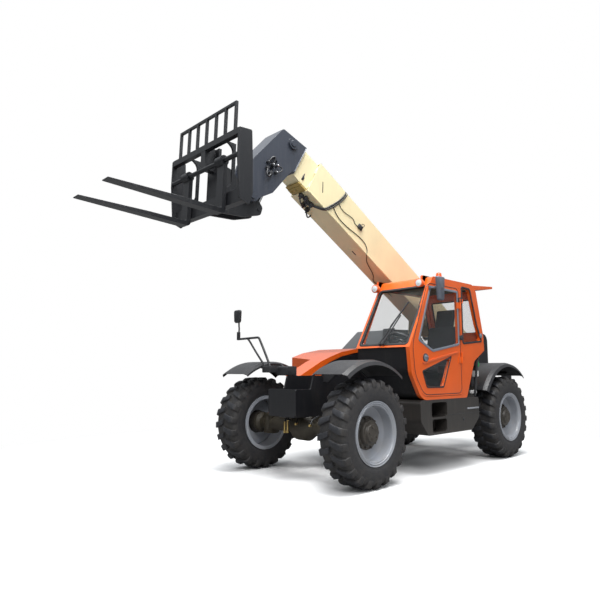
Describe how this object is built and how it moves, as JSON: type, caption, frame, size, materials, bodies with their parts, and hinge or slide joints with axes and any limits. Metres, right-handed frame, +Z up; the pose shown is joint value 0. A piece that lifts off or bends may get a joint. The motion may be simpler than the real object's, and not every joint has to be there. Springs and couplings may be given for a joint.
{
  "type": "telescopic handler",
  "caption": "Four-wheel telescopic handler with an orange cab, a raised cream boom and a pair of pallet forks.",
  "frame": {"origin": "centre of the bounding box in plan, on the ground under the tyres", "axes": "+X forward towards the fork tips, +Y to the left side with the cab, +Z up"},
  "size_m": [7.7163, 2.58, 4.5984],
  "materials": {
    "tyre": "matte",
    "rim": "satin",
    "axle": "satin",
    "orange_paint": "gloss",
    "cream_paint": "gloss",
    "glass": "clear",
    "rod_chrome": "polished",
    "charcoal_paint": "satin",
    "black_plastic": "matte",
    "cast_block": "rough",
    "cover_grey": "satin",
    "black_paint": "satin"
  },
  "bodies": {
    "chassis": {"cab_base": "black_paint", "cab_frame": "orange_paint", "cab_glass": "glass", "chassis_frame": "black_paint", "counterweight": "black_paint", "dashboard": "black_plastic", "engine": "cast_block", "engine_base": "black_paint", "engine_cover": "cover_grey", "front_axle": "axle", "front_fenders": "black_plastic", "lamps": "black_plastic", "mirror_right": "black_plastic", "rear_axle": "axle", "rear_fenders": "black_plastic", "seat": "black_plastic", "steering_wheel": "black_plastic", "step_tank": "black_paint", "wipers": "black_plastic"},
    "knuckle_fl": {"knuckle_front_left": "axle"},
    "wheel_fl": {"wheel_front_left": "rim", "tyre_front_left": "tyre"},
    "knuckle_fr": {"knuckle_front_right": "axle"},
    "wheel_fr": {"wheel_front_right": "rim", "tyre_front_right": "tyre"},
    "knuckle_rl": {"knuckle_rear_left": "axle"},
    "wheel_rl": {"wheel_rear_left": "rim", "tyre_rear_left": "tyre"},
    "knuckle_rr": {"knuckle_rear_right": "axle"},
    "wheel_rr": {"wheel_rear_right": "rim", "tyre_rear_right": "tyre"},
    "boom_outer": {"boom_outer": "cream_paint"},
    "boom_inner": {"boom_inner": "cream_paint", "boom_head": "charcoal_paint", "tilt_cylinder_barrel": "black_paint"},
    "tilt_rod": {"tilt_cylinder_rod": "rod_chrome"},
    "carriage": {"carriage": "black_paint"},
    "fork_left": {"fork_left": "black_paint"},
    "fork_right": {"fork_right": "black_paint"},
    "lift_barrel": {"lift_cylinder_barrel": "black_paint"},
    "lift_rod": {"lift_cylinder_rod": "rod_chrome"},
    "comp_barrel": {"levelling_cylinder_barrel": "black_paint"},
    "comp_rod": {"levelling_cylinder_rod": "rod_chrome"},
    "door": {"door_frame": "orange_paint", "door_glass": "glass", "mirror_left": "black_plastic"},
    "hood": {"engine_hood": "orange_paint"}
  },
  "joints": [
    {"name": "steer_fl", "type": "hinge", "parent": "chassis", "child": "knuckle_fl", "pos_m": [0.8, 0.76, 0.65], "axis": [0, 0, 1], "range_deg": [-35, 35]},
    {"name": "roll_fl", "type": "hinge", "parent": "knuckle_fl", "child": "wheel_fl", "pos_m": [0.8, 1.007, 0.65], "axis": [0, 1, 0], "continuous": true},
    {"name": "steer_fr", "type": "hinge", "parent": "chassis", "child": "knuckle_fr", "pos_m": [0.8, -0.76, 0.65], "axis": [0, 0, 1], "range_deg": [-35, 35]},
    {"name": "roll_fr", "type": "hinge", "parent": "knuckle_fr", "child": "wheel_fr", "pos_m": [0.8, -1.007, 0.65], "axis": [0, 1, 0], "continuous": true},
    {"name": "steer_rl", "type": "hinge", "parent": "chassis", "child": "knuckle_rl", "pos_m": [-2.69, 0.76, 0.65], "axis": [0, 0, 1], "range_deg": [-35, 35]},
    {"name": "roll_rl", "type": "hinge", "parent": "knuckle_rl", "child": "wheel_rl", "pos_m": [-2.69, 1.007, 0.65], "axis": [0, 1, 0], "continuous": true},
    {"name": "steer_rr", "type": "hinge", "parent": "chassis", "child": "knuckle_rr", "pos_m": [-2.69, -0.76, 0.65], "axis": [0, 0, 1], "range_deg": [-35, 35]},
    {"name": "roll_rr", "type": "hinge", "parent": "knuckle_rr", "child": "wheel_rr", "pos_m": [-2.69, -1.007, 0.65], "axis": [0, 1, 0], "continuous": true},
    {"name": "boom_lift", "type": "hinge", "parent": "chassis", "child": "boom_outer", "pos_m": [-3.345, 0, 1.8], "axis": [0, -1, 0], "range_deg": [-32.5, 40]},
    {"name": "boom_extend", "type": "slide", "parent": "boom_outer", "child": "boom_inner", "axis": [0.8686, 0, 0.4955], "range_m": [0, 2.7]},
    {"name": "carriage_tilt", "type": "hinge", "parent": "boom_inner", "child": "carriage", "pos_m": [1.90465, 0, 3.54986], "axis": [0, -1, 0], "range_deg": [-50, 45]},
    {"name": "tilt_rod_slide", "type": "slide", "parent": "boom_inner", "child": "tilt_rod", "axis": [0.4613, 0, -0.8872], "range_m": [-0.169, 0.153]},
    {"name": "fork_left_slide", "type": "slide", "parent": "carriage", "child": "fork_left", "axis": [0, 1, 0], "range_m": [-0.15, 0.12]},
    {"name": "fork_right_slide", "type": "slide", "parent": "carriage", "child": "fork_right", "axis": [0, 1, 0], "range_m": [-0.12, 0.15]},
    {"name": "lift_barrel_hinge", "type": "hinge", "parent": "chassis", "child": "lift_barrel", "pos_m": [-3.145, -0.066, 0.95], "axis": [0, -1, 0], "range_deg": [-25, 30.5]},
    {"name": "lift_rod_slide", "type": "slide", "parent": "lift_barrel", "child": "lift_rod", "axis": [0.7435, 0, 0.6687], "range_m": [-0.414, 0.508]},
    {"name": "comp_barrel_hinge", "type": "hinge", "parent": "chassis", "child": "comp_barrel", "pos_m": [-3.2, 0.095, 0.95], "axis": [0, -1, 0], "range_deg": [-23.7, 28.9]},
    {"name": "comp_rod_slide", "type": "slide", "parent": "comp_barrel", "child": "comp_rod", "axis": [0.7499, 0, 0.6616], "range_m": [-0.396, 0.487]},
    {"name": "door_hinge", "type": "hinge", "parent": "chassis", "child": "door", "pos_m": [-1.245, 1.195, 2], "axis": [0, 0, 1], "range_deg": [0, 95]},
    {"name": "hood_hinge", "type": "hinge", "parent": "chassis", "child": "hood", "pos_m": [-1.165, -0.7, 1.75], "axis": [0, -1, 0], "range_deg": [0, 50]}
  ],
  "couplings": [
    {"joint": "steer_fr", "follows": "steer_fl", "ratio": 1},
    {"joint": "steer_rr", "follows": "steer_rl", "ratio": 1},
    {"joint": "lift_barrel_hinge", "follows": "boom_lift", "ratio": 0.7377},
    {"joint": "lift_rod_slide", "follows": "boom_lift", "m_per_rad": 0.7224},
    {"joint": "comp_barrel_hinge", "follows": "boom_lift", "ratio": 0.6987},
    {"joint": "comp_rod_slide", "follows": "boom_lift", "m_per_rad": 0.6914},
    {"joint": "tilt_rod_slide", "follows": "carriage_tilt", "m_per_rad": 0.1892}
  ]
}
